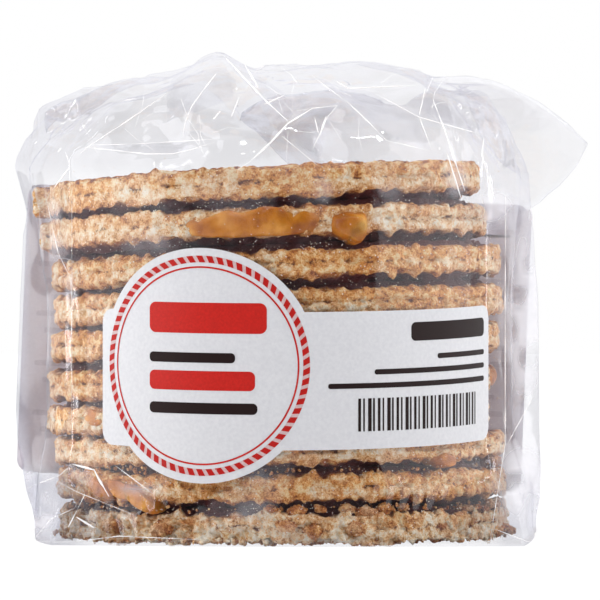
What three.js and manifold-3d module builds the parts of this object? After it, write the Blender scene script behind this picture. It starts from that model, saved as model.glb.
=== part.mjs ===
// A bag of stroopwafels: clear gusseted film folded round a stack of ten round waffles, its top
// crumpled up to a ridge over the stack and its mouth folded over behind as a loose flap, with a
// front and a back label. Millimetres, +Z up, the front faces -Y. The origin is the middle of
// the flat bottom, on the axis of the stack. The filled bag is one solid out to its film.
import * as THREE from "three";
import { mergeVertices } from "three/addons/utils/BufferGeometryUtils.js";
import Module from "manifold-3d";

const wasm = await Module();
wasm.setup();
const { lerp, smoothstep, degToRad } = THREE.MathUtils;

// Driving sizes.
const waffleRadius = 40;
const shoulderHeight = 66; // where the walls end and the crumpled roof begins
const ridgeHeight = 84.2;
const paperGap = 0.3; // from the film to a label
const paperThickness = 0.35;

// The film is folded into six panels. Their creases, starting on the left and going round by
// the front, are: left gusset, front left, front right, right gusset, back right, back left.
const panelColumns = [8, 32, 8, 10, 28, 10];
const columnCount = panelColumns.reduce((sum, n) => sum + n, 0);
const panelBulges = [1.8, 0, 0.6, 0.4, 4, 0.4]; // how far a panel swells past a straight line

const front = {
  radius: waffleRadius + 1,
  leftTurn: degToRad(61), // the creases that end the round front, from its middle
  leftTopTurn: degToRad(52),
  rightTurn: degToRad(75),
  slidHeight: 42, // above this the top waffles have slid to the left and push the film out
  slidOut: 4.2,
};
// The foot is nearly square: its front corners stand out and drop back to the round front.
const foot = {
  height: 15,
  left: new THREE.Vector2(-38.6, -34.5),
  right: new THREE.Vector2(42, -38.2),
  bulge: 4.8,
};
const back = { cornerDepth: 38, footDepth: 36.5 };
const gusset = { leftDepth: 6, rightDepth: 12 };

// Half widths of the bag by height, at the back corners and at the gusset creases, which are
// tucked in above a flat triangle at the foot.
const widths = [
  { height: 0, backLeft: 44.8, backRight: 47.6, gussetLeft: 42.6, gussetRight: 46.4 },
  { height: 8, backLeft: 47.8, backRight: 49, gussetLeft: 43.4, gussetRight: 46.2 },
  { height: 20, backLeft: 49.4, backRight: 48.8, gussetLeft: 41.5, gussetRight: 42.6 },
  { height: 42, backLeft: 48.6, backRight: 48.6, gussetLeft: 41.4, gussetRight: 42.4 },
  { height: 54, backLeft: 48, backRight: 47.8, gussetLeft: 43.2, gussetRight: 43.2 },
  { height: 66, backLeft: 46.4, backRight: 46.8, gussetLeft: 45.2, gussetRight: 44.4 },
];
const wallRows = 12;
const rowHeight = shoulderHeight / wallRows;

// The ridge runs from the left gusset crease to the right one.
const ridge = {
  left: new THREE.Vector3(-34, 6, 76),
  right: new THREE.Vector3(32, 8, 79.5),
  endPower: 3,
  lumps: [
    { at: -28, height: 0.9, width: 3.5 },
    { at: -11, height: 3, width: 5 },
    { at: 0, height: -0.5, width: 4 },
    { at: 13, height: 1.2, width: 6 },
  ],
};

// The roof is crumpled: flat facets between straight creases, on a net of triangles whose
// knots are pushed about. Each facet of the net is drawn with facetSteps columns and rows.
const crumple = {
  rows: 5,
  facetSteps: 4,
  outward: [0, 1.9, 2.8, 2.8, 2, 0], // how far the knots of each row stand out or in
  sideways: 1.7, // columns
  upward: 0.05, // share of the way from the shoulder to the ridge
};

// The loose flap: the flattened mouth, folded over the ridge to the back right. Rows of points
// steer a smooth patch, from the ridge to the cut edge, each from the right to the left.
const flap = {
  thickness: 1.2,
  stepsAlong: 11,
  stepsAcross: 7,
  rows: [
    [new THREE.Vector3(24, 9, 81), new THREE.Vector3(6, 10, 82), new THREE.Vector3(-10, 12, 81)],
    [new THREE.Vector3(36, 22, 86), new THREE.Vector3(16, 40, 87), new THREE.Vector3(-12, 38, 81)],
    [new THREE.Vector3(47, 33, 82), new THREE.Vector3(36, 52, 74), new THREE.Vector3(-2, 52, 70)],
    [new THREE.Vector3(58, 39, 72), new THREE.Vector3(53, 46, 57), new THREE.Vector3(22, 47, 51)],
  ],
};

// The front label: a strip with a disc, wrapped on the round front. Its ends rise a little.
const frontLabel = {
  left: -33.6, // along the wrap, from the middle of the front
  right: 45.3,
  bottom: 16.3,
  top: 39.7,
  cornerRadius: 2.4,
  discRadius: 20,
  discAt: new THREE.Vector2(-13.1, 30.5),
  endRise: 1.5,
};

// The back label: a plain sheet on the back panel, a little askew.
const backLabel = {
  width: 94.5,
  height: 54,
  middle: new THREE.Vector2(-0.2, 35.5),
  turn: degToRad(-3),
  cornerRadius: 2.5,
};

// One of the widths at a height, eased between the stations.
function widthAt(name, height) {
  let upper = widths.findIndex((w) => w.height >= height);
  if (upper < 1) upper = upper === 0 ? 1 : widths.length - 1;
  const [a, b] = [widths[upper - 1], widths[upper]];
  return lerp(a[name], b[name], smoothstep(height, a.height, b.height));
}

// A point of the round front, which turns into the square foot low down.
function frontPoint(share, height) {
  const slid = smoothstep(height, front.slidHeight, shoulderHeight);
  const turn = lerp(-lerp(front.leftTurn, front.leftTopTurn, slid), front.rightTurn, share);
  const across = front.radius + (turn < 0 ? front.slidOut * slid : 0);
  const round = new THREE.Vector2(across * Math.sin(turn), -front.radius * Math.cos(turn));
  const square = foot.left.clone().lerp(foot.right, share);
  square.y -= foot.bulge * 4 * share * (1 - share);
  return round.lerp(square, 1 - smoothstep(height, 0, foot.height));
}

// The six creases at a height, in the order of the panels that start at them.
function creasesAt(height) {
  const cornerDepth = lerp(back.footDepth, back.cornerDepth, smoothstep(height, 0, foot.height));
  return [
    new THREE.Vector2(-widthAt("gussetLeft", height), gusset.leftDepth),
    frontPoint(0, height),
    frontPoint(1, height),
    new THREE.Vector2(widthAt("gussetRight", height), gusset.rightDepth),
    new THREE.Vector2(widthAt("backRight", height), cornerDepth),
    new THREE.Vector2(-widthAt("backLeft", height), cornerDepth),
  ];
}

// A point of the walls. column counts round the bag from the left gusset crease, by the front.
// grow moves the point out: straight back on the back panel, and away from the axis elsewhere.
function wallPoint(column, height, grow = 0) {
  let along = ((column % columnCount) + columnCount) % columnCount;
  let panel = 0;
  while (along >= panelColumns[panel]) along -= panelColumns[panel++];
  const share = along / panelColumns[panel];
  const creases = creasesAt(height);
  const from = creases[panel];
  const way = creases[(panel + 1) % creases.length].clone().sub(from);
  const flat = from.clone().addScaledVector(way, share);
  const outward = new THREE.Vector2(way.y, -way.x).normalize();
  flat.addScaledVector(outward, panelBulges[panel] * 4 * share * (1 - share));
  if (panel === 1) flat.copy(frontPoint(share, height));
  const growth = flat.y > back.footDepth - 1 ? new THREE.Vector2(0, grow) : flat.clone().setLength(grow);
  flat.add(growth);
  return new THREE.Vector3(flat.x, flat.y, height);
}

// The ridge, over the walls' column. Front and back columns meet on it in pairs.
function ridgePoint(column) {
  const half = columnCount / 2;
  const round = ((column % columnCount) + columnCount) % columnCount;
  const share = (half - Math.abs(half - round)) / half;
  const point = ridge.left.clone().lerp(ridge.right, share);
  const end = point.x < 0 ? ridge.left : ridge.right;
  point.z = lerp(ridgeHeight, end.z, Math.abs(point.x / end.x) ** ridge.endPower);
  for (const lump of ridge.lumps) point.z += lump.height * Math.exp(-(((point.x - lump.at) / lump.width) ** 2));
  return point;
}

// The roof before it is crumpled: share is 0 at the shoulder and 1 on the ridge. It leaves the
// shoulder steeply and flattens towards the ridge.
function smoothRoofPoint(column, share) {
  const shoulder = wallPoint(column, shoulderHeight);
  const top = ridgePoint(column);
  const point = shoulder.clone().lerp(top, share ** 1.5);
  point.z = lerp(shoulder.z, top.z, 1 - (1 - share) ** 2);
  return point;
}

// A number between -1 and 1 that looks random, the same for the same knot each time.
function scatter(column, row, kind) {
  const knotColumns = columnCount / crumple.facetSteps;
  const number = Math.sin((((column % knotColumns) + knotColumns) % knotColumns) * 12.99 + row * 78.23 + kind * 37.7);
  return 2 * (number * 43758.5 - Math.floor(number * 43758.5)) - 1;
}

// How a knot of the crumpled net is pushed: sideways, upward and outward.
function knotPush(column, row) {
  if (row === 0 || row === crumple.rows) return new THREE.Vector3();
  return new THREE.Vector3(
    crumple.sideways * scatter(column, row, 0),
    crumple.upward * scatter(column, row, 1),
    crumple.outward[row] * scatter(column, row, 2),
  );
}

// A point of the crumpled roof, by the lathe's column and its row above the shoulder. Each row
// is set on by half a column, so that the lathe's triangles form a net of even triangles.
function roofPoint(column, row) {
  const steps = crumple.facetSteps;
  const knotColumn = Math.floor(column / steps);
  const knotRow = Math.min(Math.floor(row / steps), crumple.rows - 1);
  const across = column / steps - knotColumn;
  const up = row / steps - knotRow;
  const near = across + up <= 1;
  const corner = near ? knotPush(knotColumn, knotRow) : knotPush(knotColumn + 1, knotRow + 1);
  const sideStep = near ? knotPush(knotColumn + 1, knotRow) : knotPush(knotColumn, knotRow + 1);
  const upStep = near ? knotPush(knotColumn, knotRow + 1) : knotPush(knotColumn + 1, knotRow);
  const push = corner
    .clone()
    .addScaledVector(sideStep.sub(corner), near ? across : 1 - across)
    .addScaledVector(upStep.sub(corner), near ? up : 1 - up);
  const netColumn = column + row / 2 + push.x;
  const share = row / (steps * crumple.rows) + push.y;
  const point = smoothRoofPoint(netColumn, share);
  const middle = new THREE.Vector3(0.5 * point.x, ridge.left.y, shoulderHeight);
  return point.addScaledVector(point.clone().sub(middle).normalize(), push.z);
}

// A closed geometry as a manifold-3d solid: shared corners are merged and slivers dropped.
function solidOf(geometry) {
  const bare = geometry.clone();
  for (const name of Object.keys(bare.attributes)) {
    if (name !== "position") bare.deleteAttribute(name);
  }
  const merged = mergeVertices(bare, 1e-4);
  const corners = merged.index.array;
  const kept = [];
  for (let i = 0; i < corners.length; i += 3) {
    const [a, b, c] = corners.slice(i, i + 3);
    if (a !== b && b !== c && a !== c) kept.push(a, b, c);
  }
  const vertProperties = new Float32Array(merged.attributes.position.array);
  return new wasm.Manifold(new wasm.Mesh({ numProp: 3, vertProperties, triVerts: new Uint32Array(kept) }));
}

function geometryOf(solid) {
  const mesh = solid.getMesh();
  const geometry = new THREE.BufferGeometry();
  geometry.setAttribute("position", new THREE.BufferAttribute(mesh.vertProperties, 3));
  geometry.setIndex(new THREE.BufferAttribute(mesh.triVerts, 1));
  geometry.computeVertexNormals();
  return geometry;
}

// A lathe's rows and columns moved to new places. move gets a column and a row number.
function movedLathe(rowCount, move) {
  const rows = Array.from({ length: rowCount }, (_, i) => new THREE.Vector2(1, i));
  const geometry = new THREE.LatheGeometry(rows, columnCount);
  const position = geometry.attributes.position;
  for (let i = 0; i < position.count; i++) {
    const point = move(Math.floor(i / rowCount) % columnCount, i % rowCount);
    position.setXYZ(i, point.x, point.y, point.z);
  }
  return geometry;
}

// The bag's body: the flat bottom from its middle to its edge, the walls, and the roof.
function bodySolid() {
  const bottomRows = [0];
  const roofRows = crumple.rows * crumple.facetSteps;
  const rowCount = bottomRows.length + wallRows + 1 + roofRows;
  const geometry = movedLathe(rowCount, (column, row) => {
    if (row < bottomRows.length) return wallPoint(column, 0).multiplyScalar(bottomRows[row]);
    const wallRow = row - bottomRows.length;
    return wallRow <= wallRows ? wallPoint(column, rowHeight * wallRow) : roofPoint(column, wallRow - wallRows);
  });
  return solidOf(geometry);
}

// A point of the flap's patch, by Bernstein weights along and across it.
function flapPoint(along, across) {
  const t = along;
  const s = across;
  const alongWeights = [(1 - t) ** 3, 3 * t * (1 - t) ** 2, 3 * t ** 2 * (1 - t), t ** 3];
  const acrossWeights = [(1 - s) ** 2, 2 * s * (1 - s), s ** 2];
  const point = new THREE.Vector3();
  alongWeights.forEach((a, i) => acrossWeights.forEach((b, j) => point.addScaledVector(flap.rows[i][j], a * b)));
  return point;
}

// The flap is a thin box bent on to its patch, thick along the patch's normal.
function flapSolid() {
  const geometry = new THREE.BoxGeometry(1, 1, 1, flap.stepsAlong, flap.stepsAcross, 1);
  const position = geometry.attributes.position;
  const step = 0.01;
  for (let i = 0; i < position.count; i++) {
    const along = position.getX(i) + 0.5;
    const across = position.getY(i) + 0.5;
    const alongWay = flapPoint(along + step, across).sub(flapPoint(along - step, across));
    const acrossWay = flapPoint(along, across + step).sub(flapPoint(along, across - step));
    const normal = alongWay.cross(acrossWay).normalize();
    const point = flapPoint(along, across).addScaledVector(normal, position.getZ(i) * flap.thickness);
    position.setXYZ(i, point.x, point.y, point.z);
  }
  return solidOf(geometry);
}

// A rectangle with round corners, as a shape.
function roundedRectangle(left, bottom, right, top, radius) {
  const shape = new THREE.Shape();
  shape.absarc(right - radius, bottom + radius, radius, -Math.PI / 2, 0);
  shape.absarc(right - radius, top - radius, radius, 0, Math.PI / 2);
  shape.absarc(left + radius, top - radius, radius, Math.PI / 2, Math.PI);
  shape.absarc(left + radius, bottom + radius, radius, Math.PI, 1.5 * Math.PI);
  shape.closePath();
  return shape;
}

// A prism of a shape seen from the front, from one depth to another. place moves its points.
function prismSolid(shape, spacing, fromDepth, toDepth, place) {
  const count = Math.round(shape.getLength() / spacing);
  const outline = shape.getSpacedPoints(count).slice(0, -1).map(place);
  const depth = toDepth - fromDepth;
  const geometry = new THREE.ExtrudeGeometry(new THREE.Shape(outline), { depth, bevelEnabled: false });
  geometry.rotateX(Math.PI / 2);
  geometry.translate(0, toDepth, 0);
  return solidOf(geometry);
}

// The space inside the walls between two of their rows, moved out by grow.
function wallBand(firstRow, lastRow, grow) {
  const rowCount = lastRow - firstRow + 3;
  const geometry = movedLathe(rowCount, (column, row) => {
    const wallRow = Math.min(Math.max(firstRow + row - 1, firstRow), lastRow);
    const isMiddle = row === 0 || row === rowCount - 1;
    const height = rowHeight * wallRow;
    return isMiddle ? new THREE.Vector3(0, 0, height) : wallPoint(column, height, grow);
  });
  return solidOf(geometry);
}

// A shell that follows the walls, paperGap outside the film and paperThickness thick.
function paperShell(bottom, top) {
  const firstRow = Math.floor(bottom / rowHeight);
  const lastRow = Math.ceil(top / rowHeight);
  const inner = wallBand(firstRow - 1, lastRow + 1, paperGap);
  return wallBand(firstRow, lastRow, paperGap + paperThickness).subtract(inner);
}

function frontLabelGeometry() {
  const { left, bottom, right, top, cornerRadius, discAt, discRadius, endRise } = frontLabel;
  const place = (p) => {
    const turn = p.x / front.radius;
    return new THREE.Vector2(front.radius * Math.sin(turn), p.y + endRise * (p.x / right) ** 2);
  };
  const strip = roundedRectangle(left, bottom, right, top, cornerRadius);
  const disc = new THREE.Shape().absarc(discAt.x, discAt.y, discRadius, 0, 2 * Math.PI);
  const reach = -waffleRadius - 10;
  const prism = prismSolid(strip, 2, reach, 0, place).add(prismSolid(disc, 2, reach, 0, place));
  const shell = paperShell(discAt.y - discRadius, discAt.y + discRadius + endRise);
  return geometryOf(shell.intersect(prism));
}

function backLabelGeometry() {
  const { width, height, middle, turn, cornerRadius } = backLabel;
  const sheet = roundedRectangle(-width / 2, -height / 2, width / 2, height / 2, cornerRadius);
  const place = (p) => p.clone().rotateAround(new THREE.Vector2(), turn).add(middle);
  const prism = prismSolid(sheet, 4, back.footDepth, back.footDepth + 20, place);
  const rise = (width / 2) * Math.abs(Math.sin(turn));
  return geometryOf(paperShell(middle.y - height / 2 - rise, middle.y + height / 2 + rise).intersect(prism));
}

const film = new THREE.MeshStandardMaterial({ color: 0xe9eaee, roughness: 0.12, metalness: 0 });
const paper = new THREE.MeshStandardMaterial({ color: 0xf1f1f2, roughness: 0.45, metalness: 0 });

const bagOfStroopwafels = new THREE.Group();
for (const [name, geometry, material] of [
  ["bag", geometryOf(bodySolid().add(flapSolid())), film],
  ["front_label", frontLabelGeometry(), paper],
  ["back_label", backLabelGeometry(), paper],
]) {
  const mesh = new THREE.Mesh(geometry, material);
  mesh.name = name;
  bagOfStroopwafels.add(mesh);
}

export default bagOfStroopwafels;
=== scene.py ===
# A clear gusseted bag of stroopwafels: ten caramel waffles, loose crumbs, film and two paper labels.
import math
import random

import bmesh
import bpy
from mathutils import Euler, Matrix, Vector, noise
from mathutils.bvhtree import BVHTree


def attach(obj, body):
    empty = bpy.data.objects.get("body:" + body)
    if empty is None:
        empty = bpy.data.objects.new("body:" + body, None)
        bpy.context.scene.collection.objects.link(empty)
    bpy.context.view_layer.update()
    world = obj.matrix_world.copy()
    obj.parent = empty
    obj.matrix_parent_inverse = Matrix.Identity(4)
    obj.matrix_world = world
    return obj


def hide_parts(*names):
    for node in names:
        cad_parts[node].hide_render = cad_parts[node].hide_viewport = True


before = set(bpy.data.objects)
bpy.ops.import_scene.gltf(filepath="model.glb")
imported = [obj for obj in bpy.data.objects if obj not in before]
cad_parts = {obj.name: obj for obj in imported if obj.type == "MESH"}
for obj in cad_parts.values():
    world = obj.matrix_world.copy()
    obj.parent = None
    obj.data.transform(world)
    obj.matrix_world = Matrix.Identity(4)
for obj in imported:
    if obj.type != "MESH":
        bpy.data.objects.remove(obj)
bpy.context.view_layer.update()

mm = 0.001
mergeWithin = 0.01 * mm  # points nearer to each other than this are one
scene = bpy.context.scene


# small helpers for meshes

def active(obj):
    bpy.ops.object.select_all(action="DESELECT")
    obj.select_set(True)
    bpy.context.view_layer.objects.active = obj


def applyPlace(obj):  # puts the object's place into its mesh
    active(obj)
    bpy.ops.object.transform_apply(location=True, rotation=True, scale=True)


def selectWhere(obj, kind, test):  # in edit mode: selects the verts, edges or faces that pass the test
    mesh = bmesh.from_edit_mesh(obj.data)
    bpy.ops.mesh.select_mode(type={"verts": "VERT", "edges": "EDGE", "faces": "FACE"}[kind])
    bpy.ops.mesh.select_all(action="DESELECT")
    for part in getattr(mesh, kind):
        if test(part):
            part.select = True
    mesh.select_flush(True) if kind == "verts" else mesh.select_flush_mode()
    bmesh.update_edit_mesh(obj.data)


def modify(obj, kind, **settings):  # adds a modifier and applies it at once
    active(obj)
    modifier = obj.modifiers.new(kind.lower(), kind)
    for name, value in settings.items():
        setattr(modifier, name, value)
    bpy.ops.object.modifier_apply(modifier=modifier.name)


def displace(obj, texture, strength, **settings):  # moves the surface along its normals, by millimetres
    modify(obj, "DISPLACE", texture=texture, strength=strength * mm, **settings)


def edited(obj, *steps):  # in edit mode, each step on the whole mesh: what it does, then its settings
    active(obj)
    bpy.ops.object.mode_set(mode="EDIT")
    for operator, settings in steps:
        bpy.ops.mesh.select_all(action="SELECT")
        operator(**settings)
    bpy.ops.object.mode_set(mode="OBJECT")


def smoothed(obj):
    active(obj)
    bpy.ops.object.shade_smooth()
    return obj


def joined(name, parts):
    active(parts[0])
    for part in parts:
        part.select_set(True)
    if len(parts) > 1:
        bpy.ops.object.join()
    parts[0].name = name
    parts[0].data.name = name
    return parts[0]


def weigh(obj, group, weightOf):  # a vertex group whose weight is worked out from each vertex's place
    vertexGroup = obj.vertex_groups.new(name=group)
    for vertex in obj.data.vertices:
        weight = weightOf(vertex.co)
        if weight > 0:
            vertexGroup.add([vertex.index], min(weight, 1), "REPLACE")


def paint(obj, attribute, valueOf):  # a number for each vertex, which the material can read
    layer = obj.data.attributes.new(attribute, "FLOAT", "POINT")
    layer.data.foreach_set("value", [valueOf(vertex.co) for vertex in obj.data.vertices])


def ease(value, low, high):  # 0 at low and below, 1 at high and above, smooth between
    share = min(max((value - low) / (high - low), 0), 1)
    return share * share * (3 - 2 * share)


def roundAbout(turn, out, height):
    angle = math.radians(turn)
    return (out * math.sin(angle), -out * math.cos(angle), height)


# small helpers for materials
multiplyAdd = {"operation": "MULTIPLY_ADD"}  # the first value times the second, plus the third
colourMix = {"data_type": "RGBA"}  # socket 0 takes its share, 6 and 7 its colours, and output 2 gives it


def colour(code):  # sRGB hex to linear
    parts = [int(code[i:i + 2], 16) / 255 for i in (1, 3, 5)]
    return [p / 12.92 if p <= 0.04045 else ((p + 0.055) / 1.055) ** 2.4 for p in parts] + [1]


def addNode(tree, kind, settings=None, **links):  # a link that comes from a node takes its first output
    node = tree.nodes.new("ShaderNode" + kind)
    for name, value in (settings or {}).items():
        if name == "stops":  # of a colour ramp
            elements = node.color_ramp.elements
            while len(elements) < len(value):
                elements.new(0.5)
            for element, (position, code) in zip(elements, value):
                element.position = position
                element.color = colour(code)
        elif name == "size":  # of a pattern, in millimetres
            node.inputs["Scale"].default_value = 1 / (value * mm)
        elif isinstance(name, str) and hasattr(node, name):
            setattr(node, name, value)
        else:
            node.inputs[name].default_value = colour(value) if isinstance(value, str) else value
    for name, source in links.items():
        socket = node.inputs[int(name[1:])] if name[1:].isdigit() else node.inputs[name.replace("_", " ")]
        tree.links.new(source.outputs[0] if isinstance(source, bpy.types.Node) else source, socket)
    return node


def newMaterial(name):  # an empty one, its node tree, and the place in metres that its patterns read
    material = bpy.data.materials.new(name)
    material.use_nodes = True
    tree = material.node_tree
    tree.nodes.clear()
    return material, tree, addNode(tree, "TexCoord").outputs["Object"]


def smoothNoise(name, size, depth=2, hard=False):  # a texture for the displace modifier
    texture = bpy.data.textures.new(name, "CLOUDS")
    texture.noise_scale = size * mm
    texture.noise_depth = depth
    texture.noise_type = "HARD_NOISE" if hard else "SOFT_NOISE"
    return texture


# camera, floor and light, in millimetres unless a note says otherwise
studio = {
    "cameraDistance": 780,  # from the axis of the stack
    "cameraAcross": 3.9,
    "eyeHeight": 33.8,
    "lookHeight": 42.2,
    "viewWidth": 107.2,  # how much the frame takes in at the axis
    "lampAim": 40,  # the height that every lamp points at
    "floorSize": 40,  # metres
    "wallSize": 1,  # lamps wider than this, in metres, are round
}
eye = Vector((studio["cameraAcross"], -studio["cameraDistance"], studio["eyeHeight"])) * mm


def aimed(place, target):
    return (target - place).to_track_quat("-Z", "Y").to_euler()


def makeStudio():
    view = bpy.data.cameras.new("camera")
    camera = bpy.data.objects.new("camera", view)
    scene.collection.objects.link(camera)
    target = Vector((studio["cameraAcross"], 0, studio["lookHeight"])) * mm
    camera.location = eye
    camera.rotation_euler = aimed(eye, target)
    view.lens = view.sensor_width * studio["cameraDistance"] / studio["viewWidth"]
    view.clip_start = 0.05
    scene.camera = camera

    bpy.ops.mesh.primitive_plane_add(size=studio["floorSize"])
    floor = bpy.context.object
    floor.name = "floor"
    floor.data.materials.append(paperMaterial())

    world = bpy.data.worlds.new("studio")
    scene.world = world
    world.use_nodes = True
    tree = world.node_tree
    tree.nodes.clear()
    seen = addNode(tree, "Background", {"Color": "#FFFFFF", "Strength": 1.0})
    turn = addNode(tree, "TexCoord").outputs["Generated"]
    way = addNode(tree, "SeparateXYZ", None, Vector=turn).outputs["Y"]
    wash = addNode(tree, "MapRange", {"From Min": -0.5, "From Max": 0.5, "To Min": 0.06, "To Max": 1.0},
                   Value=way)  # the wall behind the object is bright, the room in front of it is dim
    around = addNode(tree, "Background", {"Color": "#FAFAFB"}, Strength=wash)
    ray = addNode(tree, "LightPath").outputs["Is Camera Ray"]
    mix = addNode(tree, "MixShader", None, _0=ray, _1=around, _2=seen)
    addNode(tree, "OutputWorld", Surface=mix)

    for name, place, size, power in lamps:
        light = bpy.data.lights.new(name, "AREA")
        light.shape = "ELLIPSE" if size[0] > studio["wallSize"] else "RECTANGLE"
        light.size, light.size_y = size
        light.energy = power
        lamp = bpy.data.objects.new(name, light)
        scene.collection.objects.link(lamp)
        lamp.location = place
        lamp.rotation_euler = aimed(Vector(place), Vector((0, 0, studio["lampAim"])) * mm)
        lamp.visible_glossy = "fill" not in name  # a fill lights the waffles, but the film doesn't mirror it
    scene.view_settings.view_transform = "Standard"
    scene.cycles.transparent_max_bounces = 32
    print("studio made")


def paperMaterial():
    # White seamless paper, lit from behind: it stays white and takes a faint shadow.
    material, tree, place = newMaterial("white seamless paper")
    far = addNode(tree, "VectorMath", {"operation": "LENGTH"}, Vector=place).outputs["Value"]
    glow = addNode(tree, "MapRange", {"From Min": 0.1, "From Max": 1.2, "To Min": 0.9, "To Max": 1.0},
                   Value=far)
    back = addNode(tree, "Emission", {"Color": "#FFFFFF"}, Strength=glow)
    sheet = addNode(tree, "BsdfDiffuse", {"Color": "#646466"})
    both = addNode(tree, "AddShader", None, _0=back, _1=sheet)
    plain = addNode(tree, "BsdfDiffuse", {"Color": "#E8E8EC"})
    ray = addNode(tree, "LightPath").outputs["Is Camera Ray"]
    mix = addNode(tree, "MixShader", None, _0=ray, _1=plain, _2=both)
    addNode(tree, "OutputMaterial", Surface=mix)
    return material


# name, place in metres, width and height in metres, watts
lamps = [
    ("left wall", (-1.16, -0.2, 0.35), (1.6, 1.9), 10.0),
    ("left fill", (-1.1, -0.2, 0.35), (1.5, 1.8), 8.2),
    ("right wall", (1.16, -0.2, 0.35), (1.6, 1.9), 8.5),
    ("right fill", (1.1, -0.2, 0.35), (1.5, 1.8), 4.6),
    ("left softbox", (-0.62, -0.55, 0.42), (0.045, 0.26), 0.12),
    ("right softbox", (0.72, -0.5, 0.3), (0.035, 0.26), 0.13),
    ("top softbox", (0.05, -0.25, 0.85), (0.12, 0.09), 1.4),
    ("front panel", (-0.12, -1.25, 0.75), (0.1, 0.07), 1.3),
    ("left rim strip", (-0.75, 0.55, 0.25), (0.03, 0.9), 0.5),
    ("right rim strip", (0.75, 0.55, 0.25), (0.03, 0.9), 0.4),
]
makeStudio()


# the waffles, in millimetres
waffle = {
    "radius": 40.0,
    "columns": 900,
    "rimRound": 1.25,  # how round the rim's top and bottom edges are
    "groundRound": 0.3,  # how much of that the edge on the ground keeps
    "rimSegments": 7,  # in each round edge
    "rimCuts": 11,  # that divide the rim between them
    "rimFrom": 35,  # the uneven rim begins this far out
    "gridPitch": 4.8,  # of the waffle iron's ridges
    "gridHeight": 0.7,
    "gridTurns": (math.radians(38), math.radians(128)),
    "ringStep": 0.5,
    "crumbly": {9: 1.8, 8: 1.35},  # the two lowest are broken up
    "golden": [0.6, 0.5, 0.85, 0.75, 0.95, 0.35, 0.3, 0.55, 1.0, 0.05],  # each one's, from the top down
    "smaller": {5: 0.98, 6: 0.983},  # the sixth and the seventh
    "pressedTo": 40.75,  # the film holds the rims back here
    "swell": 1.0,  # the middles swell and lie on each other
    "rings": 10,  # narrow rings of faces inside the rim
    "swellRing": 4,  # the middle swells from this one inwards
    "wideRings": 31,  # the rest of an outer face, so that it can take the grid
    "wobble": 1.3,  # strengths of the unevenness, from the coarse to the fine
    "edge": 1.1,
    "seam": 0.9,
    "seamHeight": 0.2,  # above the middle
    "seamWidth": 0.3,
    "nodules": 0.85,
    "crumb": 0.75,
}
# from the top down: middle across, middle back, underside height, thickness, roll to the left in degrees
stack = [
    (-3.9, 0.3, 58.8, 5.8, 3.1),
    (-2.75, 0.3, 52.0, 5.7, 2.0),
    (-0.3, 0.0, 45.1, 5.4, 2.1),
    (0.2, 0.3, 38.3, 5.5, 1.7),
    (-0.6, 0.1, 32.1, 5.3, 1.4),
    (-1.5, 0.2, 24.9, 5.6, 1.2),
    (-1.9, 0.0, 19.0, 5.0, 1.0),
    (0.2, 0.3, 13.5, 4.9, 0.8),
    (0.7, 0.1, 7.1, 5.4, 0.4),
    (1.4, 0.1, 0.25, 5.25, 0.0),
]


# where caramel has soaked into the rim: waffle number from the top, turn from the front to the right
# in degrees, how far to each side, how strongly
soaks = [(1, 9, 16, 0.9), (1, -50, 14, 0.4), (3, 15, 12, 0.7), (3, 36, 10, 0.5), (4, 45, 25, 0.8),
         (6, -60, 22, 0.7), (9, -48, 16, 0.8), (8, 45, 18, 0.6), (9, 55, 14, 0.6), (10, -20, 10, 0.2),
         (10, 40, 32, 0.35), (5, 150, 30, 0.7), (2, 200, 30, 0.6), (7, 250, 30, 0.7), (8, 120, 30, 0.6)]


def wafflePlace(number):
    across, back, low, thickness, roll = stack[number]
    turn = Matrix.Rotation(-math.radians(roll), 4, "Y")
    return Matrix.Translation(Vector((across, back, low + thickness / 2)) * mm) @ turn


def gridTexture():  # straight raised lines, as the iron leaves them
    texture = bpy.data.textures.new("iron ridges", "WOOD")
    texture.wood_type = "BANDS"
    texture.noise_basis_2 = "TRI"
    texture.use_color_ramp = True
    texture.color_ramp.elements[0].position = 0.35
    texture.color_ramp.elements[1].position = 0.9
    return texture


def gridGuide(turn):  # an empty whose diagonal lies across the ridges and whose size sets their pitch
    guide = bpy.data.objects.new("grid guide", None)
    scene.collection.objects.link(guide)
    across = Vector((math.cos(turn), math.sin(turn), 0))
    guide.rotation_mode = "QUATERNION"
    guide.rotation_quaternion = Vector((1, 1, 1)).rotation_difference(across)
    guide.scale = [waffle["gridPitch"] * mm * math.sqrt(3) / (0.2 * math.pi)] * 3
    bpy.context.view_layer.update()
    return guide


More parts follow.
